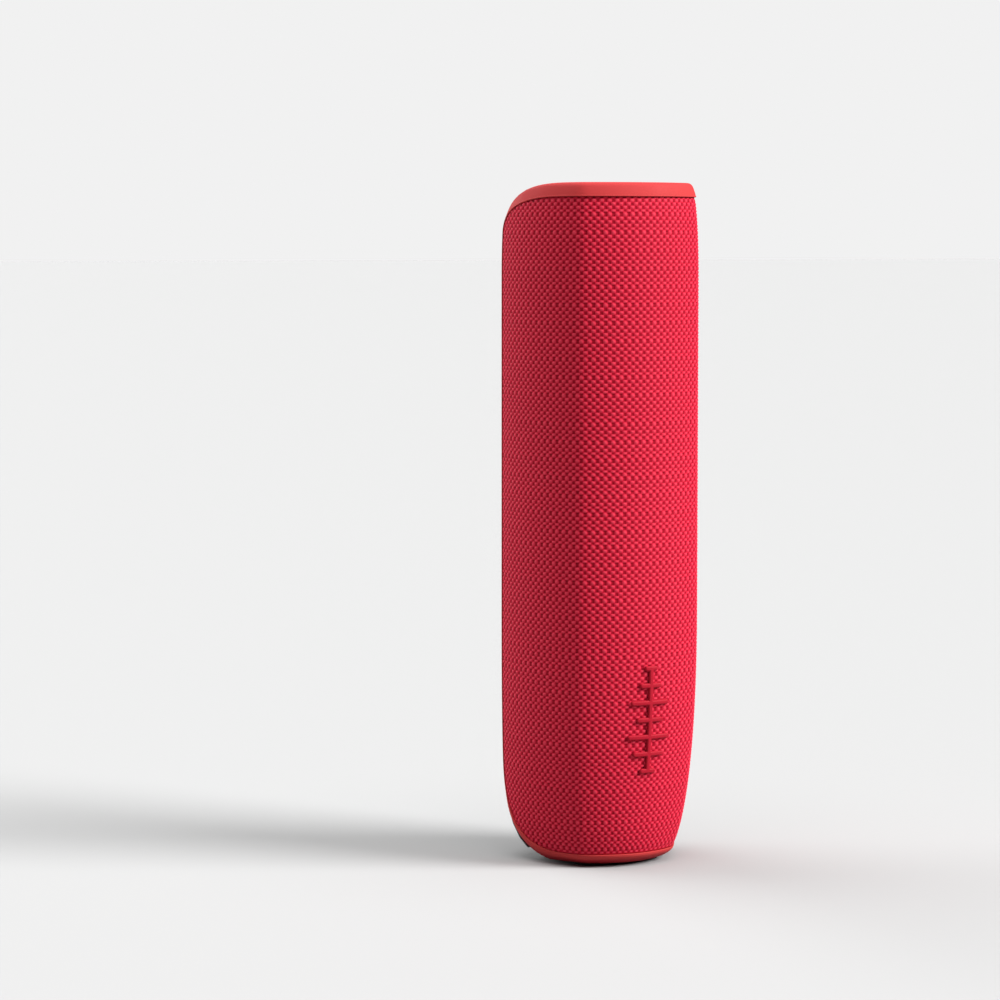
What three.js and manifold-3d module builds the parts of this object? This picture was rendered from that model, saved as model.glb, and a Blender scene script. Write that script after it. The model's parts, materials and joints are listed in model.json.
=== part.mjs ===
// Upright portable speaker with a cloth-wrapped front cover that pulls off its enclosure.
// Millimetres, +Z up, front towards -Y, base at Z = 0, centred on the origin in X and Y.
import * as THREE from 'three';
import { mergeVertices } from 'three/addons/utils/BufferGeometryUtils.js';
import Module from 'manifold-3d';

const wasm = await Module();
wasm.setup();

// Overall size
const HEIGHT = 190;
const DEPTH = 48;
const NOSE_Y = -DEPTH / 2;
const GAP = 0.3;

// Half of the cover's plan section, as three arcs from the nose back to the seam
const ARCS = [
  { radius: 33.3, endTurn: 31 },
  { radius: 6.9, endTurn: 57.5 },
  { radius: 45.6, endTurn: 99 },
];

// How the section draws in towards the base and the crown
const BASE_HEIGHT = 71.5;
const BASE_RECESS = 10.6;
const BASE_RECESS_POWER = 2;
const BASE_TAPER = 0.45;
const BASE_TAPER_POWER = 2.55;
const BASE_TAPER_AT_SEAM = 0.31;
const CROWN_DEPTH = 2.5;
const CROWN_HEIGHT = 27;
const CROWN_POWER = 2.2;

// Corners of the cover seen from the side
const TOP_CORNER = { depth: 32.9, height: 19.9, power: 2.9 };
const BOTTOM_CORNER = { depth: 29.3, height: 27.8, power: 2.47 };

// Rim that frames the cloth
const RIM_BOTTOM = 0.8;
const RIM_TOP_BAND = 3.9;
const RIM_BOTTOM_BAND = 3;
const RIM_SIDE_BAND = 1;
const RIM_PROUD = 0.4;
const RIM_BEVEL = 0.3;
const CLOTH_TOP = HEIGHT - RIM_TOP_BAND - GAP;
const CLOTH_BOTTOM = RIM_BOTTOM + RIM_BOTTOM_BAND + GAP;
const CLOTH_TOP_CORNER = { depth: 28, height: 10, power: 2.3 };
const CLOTH_BOTTOM_CORNER = { depth: 29, height: 26, power: 2.47 };

// Layers of the cover, as distances in from the cloth's face
const CLOTH_THICKNESS = 0.8;
const CARRIER_OUTER = CLOTH_THICKNESS + GAP;
const CARRIER_INNER = 2.6;

// Section of the rim, as [share of the way from the outer edge to the cloth, inset]
const RIM_PROFILE = [
  [0, CARRIER_INNER],
  [0, RIM_BEVEL],
  [0.15, -RIM_PROUD],
  [0.88, -RIM_PROUD],
  [1, 0],
  [1, CARRIER_INNER],
];

// Carrier sound slots
const SLOT_WIDTH = 3;
const SLOT_HEIGHT = 22;
const SLOT_COLUMNS = [-12, -6, 0, 6, 12];
const SLOT_ROWS = [108, 135, 162];
const SLOT_REAR = -14;

// Mark on the cloth: a level-meter pattern of cross bars on one upright
const MARK_ALONG = 0.9;
const MARK_BOTTOM = 27;
const MARK_STROKE = 1.4;
const MARK_PITCH = 4.8;
const MARK_BARS = [2.6, 5, 6.8, 4.2, 6, 3.4, 2];
const MARK_RAISE = 0.7;
const MARK_SEAT = 0.15;
const MARK_EDGE_STEPS = 2;

// Steps drawn down each side wall
const SIDE_STEPS = 5;
const INNER_SIDE_STEPS = 4;
const LEAST_ROW = 0.5;

// Enclosure
const CORE_INSET = 3.5;
const WALL = 2;
const CORE_BOTTOM = 3.6;
const CORE_TOP = 186;
const FLOOR_TOP = 6;
const ROOF_BOTTOM = 180;
const ROOF_TOP = 183;
const HEAD_BOTTOM = 181.5;
const BAFFLE_FRONT = -12.6;
const BAFFLE_REAR = -10.5;
const TRAY_FRONT = BAFFLE_REAR + GAP;
const BAFFLE_LAP = 1;
const BAFFLE_BOTTOM = FLOOR_TOP - BAFFLE_LAP;
const BACK_TOP = 188.2;
const BACK_INSET = 1.2;
const BACK_LIP = 2.5;
const BACK_ARC_STEPS = 24;
const BACK_OVERLAP = 1;

// Top panel and buttons
const PANEL_BOTTOM = 186.2;
const PANEL_TOP = BACK_TOP;
const PANEL_INSET = 3.3;
const PANEL_HALF_GIRTH = 36;
const PANEL_REAR = 0.7;
const POCKET_REAR = 0.4;
const BUTTON_Y = -6.2;
const BUTTON_PITCH = 7;
const BUTTON_RADIUS = 2.8;
const BUTTON_HOLE_RADIUS = 3.1;
const BUTTON_FLANGE_RADIUS = 3.3;
const BUTTON_BOTTOM = 185.3;
const BUTTON_FLANGE_TOP = 185.9;
const BUTTON_TOP = 189.1;
const BUTTON_BEVEL = 0.35;
const BUTTON_DISH = 0.15;
const BUTTONS = ['power', 'volume_down', 'play', 'volume_up', 'pairing'];
const LIGHT_Y = -16.6;
const LIGHT_RADIUS = 0.8;
const LIGHT_BOTTOM = 184.6;
const LIGHT_PROUD = 0.2;

// Drivers, measured from each driver's own centre
const DRIVERS = [
  { name: 'upper', z: 156 },
  { name: 'lower', z: 112 },
];
const FRAME_HALF = 17;
const FRAME_CORNER = 3;
const FRAME_FRONT = -14.6;
const FRAME_REAR = -12.9;
const FRAME_BORE = 14;
const DRIVER_SCREW_AT = 14.3;
const DRIVER_HOLE_RADIUS = 15.6;
const DRIVER_SCREW_HOLE = 1;

// Passive radiator in the back
const RADIATOR_Z = 133;
const RADIATOR_STRAIGHT = 21.5;
const RADIATOR_OPENING = 13.5;
const RADIATOR_WELL = 15.5;
const RADIATOR_WELL_FRONT = 17.5;
const RADIATOR_CUT_FRONT = 5;

// Batteries
const CELL_RADIUS = 9.15;
const CELL_X = 9.6;
const CELL_Y = 3.2;
const CELL_BOTTOM = 16;
const CELL_TOP = 81;

// Port bay in the back
const BAY = { halfWidth: 12.5, bottom: 20, top: 32, floor: 20.6 };
const BAY_WALL = 1.5;
const PORT_Z = 26;
const USB_X = -5.5;
const AUX_X = 6.5;
const PORT_FRONT = 15.6;
const PORT_REAR = BAY.floor - GAP;
const USB = { halfWidth: 4.5, halfHeight: 1.6, wall: 0.4, floor: 1 };
const TONGUE = { halfWidth: 3.2, halfHeight: 0.35, front: 16, rear: 19.6 };
const AUX_RADIUS = 3;
const AUX_BORE = 1.75;
const AUX_BORE_FLOOR = 16.4;
const FLAP_INNER_Y = 21.2;

// Control board under the buttons
const BOARD_BOTTOM = 183.3;
const BOARD_TOP = 184;

// Screws
const BAFFLE_SCREWS = [
  [-12, 24],
  [12, 24],
  [-12, 178.6],
  [12, 178.6],
];
const POST_HALF = 3.5;
const POST_DEPTH = [TRAY_FRONT, -6.4];
const POST_PILOT_RADIUS = 1.3;
const POST_PILOT_END = -5;
const BAFFLE_SCREW_HOLE = 1.4;
const BASE_SCREW_X = 8;
const BASE_SCREW_Y = 0;
const BASE_PILOT_RADIUS = 1.2;
const BASE_HEAD_RADIUS = 2.3;

// Base plate and foot
const BASE_PLATE = { bottom: 1.2, top: CORE_BOTTOM - GAP, halfGirth: 34, rear: 9 };
const FOOT = { top: 0.9, halfWidth: 13, front: -8.5, rear: 8.5, corner: 3 };

// Profiles of the drivers, as [radius, y]
const BASKET = [
  [15.2, -13.2],
  [15.2, -9.8],
  [11.2, -4.4],
  [11.2, -2.8],
  [8.6, -2.8],
  [8.6, -4.2],
  [10, -4.6],
  [FRAME_BORE, -10.2],
  [FRAME_BORE, -13.2],
];
const MOTOR = [
  [0, -2.6],
  [3.7, -2.6],
  [3.7, 3],
  [4.9, 3],
  [4.9, -2.5],
  [10.4, -2.5],
  [10.4, -0.9],
  [11.8, -0.9],
  [11.8, 3.6],
  [10.6, 3.6],
  [10.6, 5.4],
  [0, 5.4],
];
const SURROUND = [
  [13.8, -14.2],
  [13.3, -14.9],
  [12.6, -15.2],
  [11.9, -14.9],
  [11.4, -14.2],
  [11.9, -14.1],
  [12.6, -14.7],
  [13.3, -14.1],
];
const SPIDER = [
  [10.5, -5.9],
  [8.6, -6.4],
  [6.7, -5.9],
  [4.9, -6.3],
  [4.9, -5.9],
  [6.7, -5.5],
  [8.6, -6],
  [10.5, -5.5],
];
const CONE = [
  [11.1, -13.9],
  [11.1, -13.3],
  [4.6, -8.2],
  [4.6, 0.4],
  [4.2, 0.4],
  [4.2, -8.9],
];
const DUST_CAP = [
  [0, -12.2],
  [2.8, -11.8],
  [4.6, -11.1],
  [5.7, -10.35],
  [5.3, -10.3],
  [4.4, -10.7],
  [2.7, -11.4],
  [0, -11.8],
];
const SMALL_SCREW = [
  [0, -15.6],
  [1.3, -15.4],
  [1.5, -14.9],
  [0.8, -14.9],
  [0.8, -11],
  [0, -10.7],
];

// Profiles of the passive radiator, as [distance from its centre line, y]
const RADIATOR_FRAME = [
  [17.5, 15.2],
  [17.5, 17.2],
  [12, 17.2],
  [12, 15.2],
];
const RADIATOR_SURROUND = [
  [11.7, 16.6],
  [11.2, 17.8],
  [10, 18.4],
  [8.8, 17.8],
  [8.3, 16.6],
  [8.8, 16.6],
  [9.2, 17.4],
  [10, 17.9],
  [10.8, 17.4],
  [11.2, 16.6],
];
const RADIATOR_PLATE = [
  [7.6, 15.9],
  [8, 16.2],
  [8, 17],
  [7.2, 17.4],
];
const RADIATOR_WEIGHT = [
  [5, 13.8],
  [5, 15.6],
];

// Profiles of the cells and the base screws, as [radius, height]
const CELL = [
  [0, CELL_BOTTOM],
  [CELL_RADIUS - 0.6, CELL_BOTTOM],
  [CELL_RADIUS, CELL_BOTTOM + 0.6],
  [CELL_RADIUS, CELL_TOP - 1.6],
  [CELL_RADIUS - 0.8, CELL_TOP - 0.8],
  [3, CELL_TOP - 0.8],
  [2.8, CELL_TOP],
  [0, CELL_TOP],
];
const BASE_SCREW = [
  [0, 1.3],
  [1.9, 1.3],
  [1.9, 1.9],
  [0.9, 1.9],
  [0.9, 5.4],
  [0, 5.8],
];

// Profile of the baffle screws, as [radius, y]
const BAFFLE_SCREW = [
  [0, -14.1],
  [1.8, -13.8],
  [2.2, -12.9],
  [1.1, -12.9],
  [1.1, -8],
  [0, -7.4],
];

// Battery holder
const HOLDER = { halfWidth: 18.5, front: -5, back: [12.7, 13.7], bottom: 13, top: 84 };
const HOLDER_CLEARANCE = 0.4;
const HOLDER_RIB = { halfWidth: 0.15, front: 6 };

// Main board and the parts on it, as spans in X and Z and the depth each reaches
const MAIN_BOARD = { halfWidth: 17, front: 14.1, rear: 15.3, bottom: 22, top: 84 };
const BOARD_PARTS = [
  { x: [-14, -2], z: [62, 79], rear: 17 },
  { x: [2, 9], z: [60, 67], rear: 16.2 },
  { x: [-5, 5], z: [44, 54], rear: 16.6 },
  { x: [10, 15], z: [46, 56], rear: 17.2 },
  { x: [4, 14], z: [74, 80], rear: 17.6 },
];
const CAPACITOR = { radius: 2.4, rear: 19, x: -11, heights: [42, 50] };
const SOLDERED = 0.1;

// Control board and its switches
const CONTROL_BOARD = { clearance: 0.5, halfGirth: 34, rear: -1.6 };
const SWITCH_HALF = 1.8;
const SWITCH_TRAVEL = 0.9;

// Leads from the main board to each driver, and the ribbon to the control board, as points
const LEAD_RADIUS = 0.6;
const LEADS = {
  upper: [
    [7, 13, 85.5],
    [7, 11, 92],
    [7, 8.6, 110],
    [7, 8.2, 130],
    [7, 6.8, 150],
  ],
  lower: [
    [3, 13, 85.5],
    [3, 11, 90],
    [3, 8.4, 96],
    [3, 6.8, 104],
  ],
};
const RIBBON = { x: [-15, -10], thickness: 0.3 };
const RIBBON_PATH = [
  [-0.6, 183],
  [-0.6, 178],
  [1.5, 174],
  [9, 168],
  [9, 100],
  [11, 90],
  [13.4, 86],
];
const RIBBON_HOLE = { x: [-16, -9], y: [-1.2, 0] };

const SEGMENTS = 28;
const SMALL_SEGMENTS = 12;
const SCREW_SEGMENTS = 8;
const FAR = 60;

const CLOTH_RED = 0xb21f38;
const RIM_RED = 0xd45a5e;
const BLACK = 0x17181a;
const DARK_GREY = 0x2c2d30;
const STEEL = 0xb9bcc0;
const PAPER = 0x3a3a3d;
const BOARD_GREEN = 0x1d5a38;
const CELL_BLUE = 0x2f5f9e;
const CLEAR = 0xf2f2f2;
const SPIDER_TAN = 0xc8a24a;
const RIBBON_AMBER = 0xd9a441;
const WIRE_RED = 0x9c1f1f;

const rad = THREE.MathUtils.degToRad;

// ---- Solids ----

/** Signed volume of an indexed geometry: negative when its faces look inwards. */
function signedVolume(geometry) {
  const at = geometry.getAttribute('position');
  const index = geometry.getIndex();
  const corners = [new THREE.Vector3(), new THREE.Vector3(), new THREE.Vector3()];
  let total = 0;
  for (let i = 0; i < index.count; i += 3) {
    corners.forEach((corner, k) => corner.fromBufferAttribute(at, index.getX(i + k)));
    total += corners[0].dot(corners[1].clone().cross(corners[2])) / 6;
  }
  return total;
}

/** A welded copy with only positions, its faces looking outwards. */
function welded(geometry) {
  const bare = new THREE.BufferGeometry();
  bare.setAttribute('position', geometry.getAttribute('position'));
  bare.setIndex(geometry.getIndex());
  const merged = mergeVertices(bare, 1e-4);
  if (signedVolume(merged) < 0) {
    const index = Array.from(merged.getIndex().array);
    for (let i = 0; i < index.length; i += 3) {
      [index[i], index[i + 1]] = [index[i + 1], index[i]];
    }
    merged.setIndex(index);
  }
  return merged;
}

function solid(geometry) {
  const bare = welded(geometry);
  return new wasm.Manifold(
    new wasm.Mesh({
      numProp: 3,
      vertProperties: new Float32Array(bare.getAttribute('position').array),
      triVerts: new Uint32Array(bare.getIndex().array),
    }),
  );
}

function geometryOf(body) {
  const mesh = body.getMesh();
  const geometry = new THREE.BufferGeometry();
  geometry.setAttribute('position', new THREE.Float32BufferAttribute(mesh.vertProperties, 3));
  geometry.setIndex(Array.from(mesh.triVerts));
  return geometry;
}

/** Joins rings of equal length into a closed body, with a fan over each convex end. */
function loft(rings) {
  const size = rings[0].length;
  const index = [];
  for (let r = 0; r + 1 < rings.length; r += 1) {
    for (let i = 0; i < size; i += 1) {
      const j = (i + 1) % size;
      const a = r * size + i;
      const b = r * size + j;
      index.push(a, b, b + size, a, b + size, a + size);
    }
  }
  const last = (rings.length - 1) * size;
  for (let i = 1; i + 1 < size; i += 1) {
    index.push(0, i + 1, i);
    index.push(last, last + i, last + i + 1);
  }
  const geometry = new THREE.BufferGeometry().setFromPoints(rings.flat());
  geometry.setIndex(index);
  return solid(geometry);
}

/** Sweeps a closed profile of [radius, y] round a circle or racetrack about the Y direction. */
function loopBody(profile, straight, z, x = 0, segments = SEGMENTS) {
  const points = [];
  const index = [];
  for (let i = 0; i < segments; i += 1) {
    const turn = ((i + 0.5) / segments) * 2 * Math.PI;
    const shift = Math.sign(Math.sin(turn)) * straight;
    for (const [radius, y] of profile) {
      const up = z + shift + radius * Math.sin(turn);
      points.push(new THREE.Vector3(x + radius * Math.cos(turn), y, up));
    }
  }
  const size = profile.length;
  for (let i = 0; i < segments; i += 1) {
    const next = ((i + 1) % segments) * size;
    for (let k = 0; k < size; k += 1) {
      const l = (k + 1) % size;
      index.push(i * size + k, next + k, next + l, i * size + k, next + l, i * size + l);
    }
  }
  const geometry = new THREE.BufferGeometry().setFromPoints(points);
  geometry.setIndex(index);
  return solid(geometry);
}

/** A racetrack plate about the Y direction, from steps of [radius, y]. */
function racetrackPlate(steps, straight, z, segments = SEGMENTS) {
  const rings = steps.map(([radius, y]) => {
    const ring = [];
    for (let i = 0; i < segments; i += 1) {
      const turn = ((i + 0.5) / segments) * 2 * Math.PI;
      const shift = Math.sign(Math.sin(turn)) * straight;
      ring.push(new THREE.Vector3(radius * Math.cos(turn), y, z + shift + radius * Math.sin(turn)));
    }
    return ring;
  });
  return loft(rings);
}

/** Turns a profile of [radius, height] about the Z direction. */
function upright(profile, x, y, segments = SMALL_SEGMENTS) {
  const points = profile.map(([radius, height]) => new THREE.Vector2(radius, height));
  const geometry = new THREE.LatheGeometry(points, segments);
  geometry.rotateX(Math.PI / 2);
  geometry.translate(x, y, 0);
  return solid(geometry);
}

/** Turns a profile of [radius, y] about the Y direction. */
function facing(profile, x, z, segments = SEGMENTS) {
  const points = profile.map(([radius, y]) => new THREE.Vector2(radius, y));
  const geometry = new THREE.LatheGeometry(points, segments);
  geometry.translate(x, 0, z);
  return solid(geometry);
}

function box([x0, x1], [y0, y1], [z0, z1]) {
  const geometry = new THREE.BoxGeometry(x1 - x0, y1 - y0, z1 - z0);
  geometry.translate((x0 + x1) / 2, (y0 + y1) / 2, (z0 + z1) / 2);
  return solid(geometry);
}

/** The span that reaches a distance each side of a middle. */
function around(middle, half) {
  return [middle - half, middle + half];
}

/** A plug along Y between two depths. */
function plug(radius, y0, y1, x, z, segments = SMALL_SEGMENTS) {
  return facing(
    [
      [0, y0],
      [radius, y0],
      [radius, y1],
      [0, y1],
    ],
    x,
    z,
    segments,
  );
}

/** A plug along Z between two heights. */
function pillar(radius, z0, z1, x, y, segments = SMALL_SEGMENTS) {
  return upright(
    [
      [0, z0],
      [radius, z0],
      [radius, z1],
      [0, z1],
    ],
    x,
    y,
    segments,
  );
}

/** A round wire through the given points. */
function wire(points, radius) {
  const path = new THREE.CatmullRomCurve3(points.map((p) => new THREE.Vector3(...p)));
  const shape = new THREE.Shape();
  shape.absarc(0, 0, radius, 0, 2 * Math.PI);
  return new THREE.ExtrudeGeometry(shape, {
    steps: 12,
    curveSegments: 3,
    extrudePath: path,
  });
}

const group = new THREE.Group();

function node(name, geometry, color) {
  const material = new THREE.MeshStandardMaterial({ color });
  material.name = name;
  const clean = geometry.isBufferGeometry ? geometryOf(solid(indexed(geometry))) : geometryOf(geometry);
  clean.computeVertexNormals();
  const mesh = new THREE.Mesh(clean, material);
  mesh.name = name;
  group.add(mesh);
}

/** Gives a geometry an index if it has none. */
function indexed(geometry) {
  if (geometry.getIndex()) {
    return geometry;
  }
  geometry.setIndex([...Array(geometry.getAttribute('position').count).keys()]);
  return geometry;
}

// ---- Cover surface ----

/** How far a rounded corner stands back from its edge, at a distance from the end. */
function cutBack(fromEnd, { depth, height, power }) {
  const t = Math.max(0, 1 - fromEnd / height);
  return depth * (1 - (1 - t ** power) ** (1 / power));
}

/** Half-width, depth behind the nose and outward angle, at a girth distance from the nose. */
function sectionAt(along) {
  const at = { u: 0, v: 0, angle: 0 };
  let left = along;
  for (const { radius, endTurn } of ARCS) {
    const sweep = Math.min(left / radius, rad(endTurn) - at.angle);
    at.u += radius * (Math.sin(at.angle + sweep) - Math.sin(at.angle));
    at.v += radius * (Math.cos(at.angle) - Math.cos(at.angle + sweep));
    at.angle += sweep;
    left -= sweep * radius;
  }
  return at;
}

const HALF_GIRTH = ARCS.reduce(
  (sum, { radius, endTurn }, i) => sum + radius * rad(endTurn - (i ? ARCS[i - 1].endTurn : 0)),
  0,
);
const SEAM = sectionAt(HALF_GIRTH);
const HALF_WIDTH = ARCS[2].radius + SEAM.u - ARCS[2].radius * Math.sin(SEAM.angle);
const SEAM_Y = NOSE_Y + SEAM.v;

const NOSE_GIRTH = ARCS[0].radius * rad(ARCS[0].endTurn);
const FRONT_GIRTH = NOSE_GIRTH + ARCS[1].radius * rad(ARCS[1].endTurn - ARCS[0].endTurn);

/** Girths at which the section is drawn on one side: fixed round the front, even down the side. */
function halfStations(half, sideSteps = SIDE_STEPS) {
  const front = [NOSE_GIRTH / 2, NOSE_GIRTH, (NOSE_GIRTH + FRONT_GIRTH) / 2, FRONT_GIRTH];
  for (let i = 1; i <= sideSteps; i += 1) {
    front.push(FRONT_GIRTH + ((half - FRONT_GIRTH) * i) / sideSteps);
  }
  return front;
}

/** The same girths from one edge to the other. */
function stations(half, sideSteps = SIDE_STEPS) {
  const side = halfStations(half, sideSteps);
  return [...side.map((along) => -along).reverse(), 0, ...side];
}

/** A point on the cover, at a girth distance from the nose and a height, set in from its face. */
function coverPoint(along, z, inset) {
  const at = sectionAt(Math.abs(along));
  const u = at.u - inset * Math.sin(at.angle);
  const v = at.v + inset * Math.cos(at.angle);
  const backShare = at.v / SEAM.v;
  const taper = cutBack(z, { depth: BASE_TAPER, height: BASE_HEIGHT, power: BASE_TAPER_POWER });
  const base = { depth: BASE_RECESS, height: BASE_HEIGHT, power: BASE_RECESS_POWER };
  const crownCorner = { depth: CROWN_DEPTH, height: CROWN_HEIGHT, power: CROWN_POWER };
  const crown = cutBack(HEIGHT - z, crownCorner);
  const recess = (cutBack(z, base) + crown) * (1 - backShare);
  const narrowing = 1 - taper * (1 - (1 - BASE_TAPER_AT_SEAM) * backShare);
  const x = Math.sign(along) * u * narrowing * (1 - crown / HALF_WIDTH);
  return new THREE.Vector3(x, NOSE_Y + v + recess, z);
}

/** Girth from the nose to the cover's edge at a height. */
function edgeGirth(z) {
  return HALF_GIRTH - cutBack(HEIGHT - z, TOP_CORNER) - cutBack(z, BOTTOM_CORNER);
}

/** Girth from the nose to the cloth's border at a height. */
function clothGirth(z) {
  const corners =
    cutBack(CLOTH_TOP - z, CLOTH_TOP_CORNER) + cutBack(z - CLOTH_BOTTOM, CLOTH_BOTTOM_CORNER);
  return HALF_GIRTH - RIM_SIDE_BAND - GAP - corners;
}

// Rows at which the cover and the enclosure are drawn, from the bottom edge to the top edge
const ROW_HEIGHTS = [
  0, 0.3, 1.1, 2.6, 5, 8.5, 12.8, 18, 24.5, 32, 42, 54, 68, 160, 166, 170.5, 174, 176.7, 178.8, 180.3,
  181.2, 181.7, 182,
];
const ROWS = ROW_HEIGHTS.map((height) => height / ROW_HEIGHTS[ROW_HEIGHTS.length - 1]);
const CLOTH_HEIGHTS = ROWS.map((row) => CLOTH_BOTTOM + row * (CLOTH_TOP - CLOTH_BOTTOM));
const RIM_HEIGHTS = ROWS.map((row) => RIM_BOTTOM + row * (HEIGHT - RIM_BOTTOM));

/** A closed panel between two insets of the cover, inside the cloth's border. */
function coverPanel(outer, inner) {
  const rings = CLOTH_HEIGHTS.map((z) => {
    const half = clothGirth(z);
    const front = stations(half).map((along) => coverPoint(along, z, outer));
    const back = stations(half).map((along) => coverPoint(along, z, inner)).reverse();
    return [...front, ...back];
  });
  const size = rings[0].length;
  const across = size / 2;
  const index = [];
  for (let r = 0; r + 1 < rings.length; r += 1) {
    for (let i = 0; i < size; i += 1) {
      const a = r * size + i;
      const b = r * size + ((i + 1) % size);
      if (i < across) {
        index.push(a, b, b + size, a, b + size, a + size);
      } else {
        index.push(a, b, a + size, b, b + size, a + size);
      }
    }
  }
  const last = (rings.length - 1) * size;
  for (let i = 0; i + 1 < across; i += 1) {
    const mirrored = size - 1 - i;
    index.push(i, mirrored - 1, i + 1, i, mirrored, mirrored - 1);
    index.push(last + i, last + i + 1, last + mirrored - 1);
    index.push(last + i, last + mirrored - 1, last + mirrored);
  }
  const geometry = new THREE.BufferGeometry().setFromPoints(rings.flat());
  geometry.setIndex(index);
  return solid(geometry);
}

/** The rim: a closed band round the cloth, reaching from the carrier's depth to just proud of it. */
function rimBody() {
  const border = CLOTH_HEIGHTS.map((z) => new THREE.Vector2(clothGirth(z), z));
  const side = border.map((at, k) => {
    const before = border[Math.max(0, k - 1)];
    const after = border[Math.min(border.length - 1, k + 1)];
    const way = after.clone().sub(before).normalize();
    return {
      outerZ: RIM_HEIGHTS[k],
      outerAlong: edgeGirth(RIM_HEIGHTS[k]),
      innerZ: at.y - way.x * GAP,
      innerAlong: at.x + way.y * GAP,
    };
  });
  const topEnd = side[side.length - 1];
  const bottomEnd = side[0];
  topEnd.innerZ = CLOTH_TOP + GAP;
  bottomEnd.innerZ = CLOTH_BOTTOM - GAP;
  const spanFrom = (end) => {
    const outer = halfStations(end.outerAlong);
    const inner = halfStations(end.innerAlong);
    return outer
      .map((outerAlong, k) => ({ ...end, outerAlong, innerAlong: inner[k] }))
      .slice(0, -1)
      .reverse();
  };
  const mirrored = (list) =>
    list.map((p) => ({ ...p, outerAlong: -p.outerAlong, innerAlong: -p.innerAlong })).reverse();
  const middle = (end) => ({ ...end, outerAlong: 0, innerAlong: 0 });
  const path = [
    ...side,
    ...spanFrom(topEnd),
    middle(topEnd),
    ...mirrored(spanFrom(topEnd)),
    ...mirrored(side),
    ...mirrored(spanFrom(bottomEnd)).reverse(),
    middle(bottomEnd),
    ...spanFrom(bottomEnd).reverse(),
  ];
  const points = [];
  const index = [];
  path.forEach((p, i) => {
    for (const [share, inset] of RIM_PROFILE) {
      const along = p.outerAlong + share * (p.innerAlong - p.outerAlong);
      const z = p.outerZ + share * (p.innerZ - p.outerZ);
      points.push(coverPoint(along, z, inset));
    }
    const next = ((i + 1) % path.length) * RIM_PROFILE.length;
    RIM_PROFILE.forEach((_, k) => {
      const l = (k + 1) % RIM_PROFILE.length;
      const a = i * RIM_PROFILE.length;
      index.push(a + k, next + k, next + l, a + k, next + l, a + l);
    });
  });
  const geometry = new THREE.BufferGeometry().setFromPoints(points);
  geometry.setIndex(index);
  return solid(geometry);
}

/** The carrier: the cloth's stiff backing, with sound slots in front of the drivers. */
function carrierBody() {
  const slots = SLOT_ROWS.flatMap((z) =>
    SLOT_COLUMNS.map((x) =>
      box(around(x, SLOT_WIDTH / 2), [-FAR, SLOT_REAR], around(z, SLOT_HEIGHT / 2)),
    ),
  );
  return coverPanel(CARRIER_OUTER, CARRIER_INNER).subtract(wasm.Manifold.union(slots));
}

/** The raised mark, laid on the cloth's curve. */
function markBody() {
  const half = MARK_STROKE / 2;
  const rightSide = [];
  MARK_BARS.forEach((reach, i) => {
    const low = MARK_BOTTOM + i * MARK_PITCH;
    const steps = [...Array(MARK_EDGE_STEPS + 1).keys()].map((k) => k / MARK_EDGE_STEPS);
    const out = steps.map((k) => half + k * (reach - half));
    rightSide.push(...out.map((along) => [along, low]));
    rightSide.push(...[...out].reverse().map((along) => [along, low + MARK_STROKE]));
  });
  const outline = [...rightSide, ...rightSide.map(([along, z]) => [-along, z]).reverse()];
  const shape = new THREE.Shape(outline.map(([along, z]) => new THREE.Vector2(along, z)));
  const geometry = new THREE.ExtrudeGeometry(shape, { depth: 1, bevelEnabled: false });
  const at = geometry.getAttribute('position');
  for (let i = 0; i < at.count; i += 1) {
    const inset = -MARK_SEAT - at.getZ(i) * MARK_RAISE;
    const point = coverPoint(at.getX(i) + MARK_ALONG, at.getY(i), inset);
    at.setXYZ(i, point.x, point.y, point.z);
  }
  return geometry;
}

const MARK_TOP = MARK_BOTTOM + (MARK_BARS.length - 1) * MARK_PITCH + MARK_STROKE;

// The back reaches as far behind the origin as the raised mark reaches in front of it
const FRONT_Y = coverPoint(MARK_ALONG, MARK_TOP, -MARK_SEAT - MARK_RAISE).y;
const BACK_BULGE = -FRONT_Y - SEAM_Y - GAP;

node('fabric_skin', coverPanel(0, CLOTH_THICKNESS), CLOTH_RED);
node('cover_rim', rimBody(), RIM_RED);
node('cover_carrier', carrierBody(), BLACK);
node('level_mark', markBody(), RIM_RED);

// ---- Enclosure ----

/** The Y of the cover's edge at a height, plus the gap to the back of the enclosure. */
function backFront(z) {
  return coverPoint(edgeGirth(z), z, 0).y + GAP;
}

/** The cover's rows between two heights, with the two heights themselves. */
function rowsBetween(low, high) {
  return [low, ...RIM_HEIGHTS.filter((z) => z > low + LEAST_ROW && z < high - LEAST_ROW), high];
}

/** A body that follows the inside of the cover from one height to another. */
function innerBody(inset, low, high) {
  const rings = rowsBetween(low, high).map((z) => {
    const half = edgeGirth(z);
    const rear = backFront(z) + BACK_OVERLAP;
    const front = stations(half, INNER_SIDE_STEPS).map((along) => coverPoint(along, z, inset));
    const first = front[0];
    const last = front[front.length - 1];
    return [
      new THREE.Vector3(first.x, rear, z),
      ...front,
      new THREE.Vector3(last.x, rear, z),
    ];
  });
  return loft(rings);
}

/** The bulging back, as a solid, drawn in by a wall's thickness if asked. */
function backBody(sideInset, rearInset, low, high) {
  const rings = rowsBetween(low, high).map((z) => {
    const halfWidth = coverPoint(edgeGirth(z), z, BACK_INSET).x - sideInset;
    const front = backFront(z);
    const bulge = BACK_BULGE - rearInset;
    const ring = [];
    for (let i = 0; i <= BACK_ARC_STEPS; i += 1) {
      const turn = (i / BACK_ARC_STEPS) * Math.PI;
      ring.push(new THREE.Vector3(halfWidth * Math.cos(turn), front + bulge * Math.sin(turn), z));
    }
    return ring;
  });
  return loft(rings);
}

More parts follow.
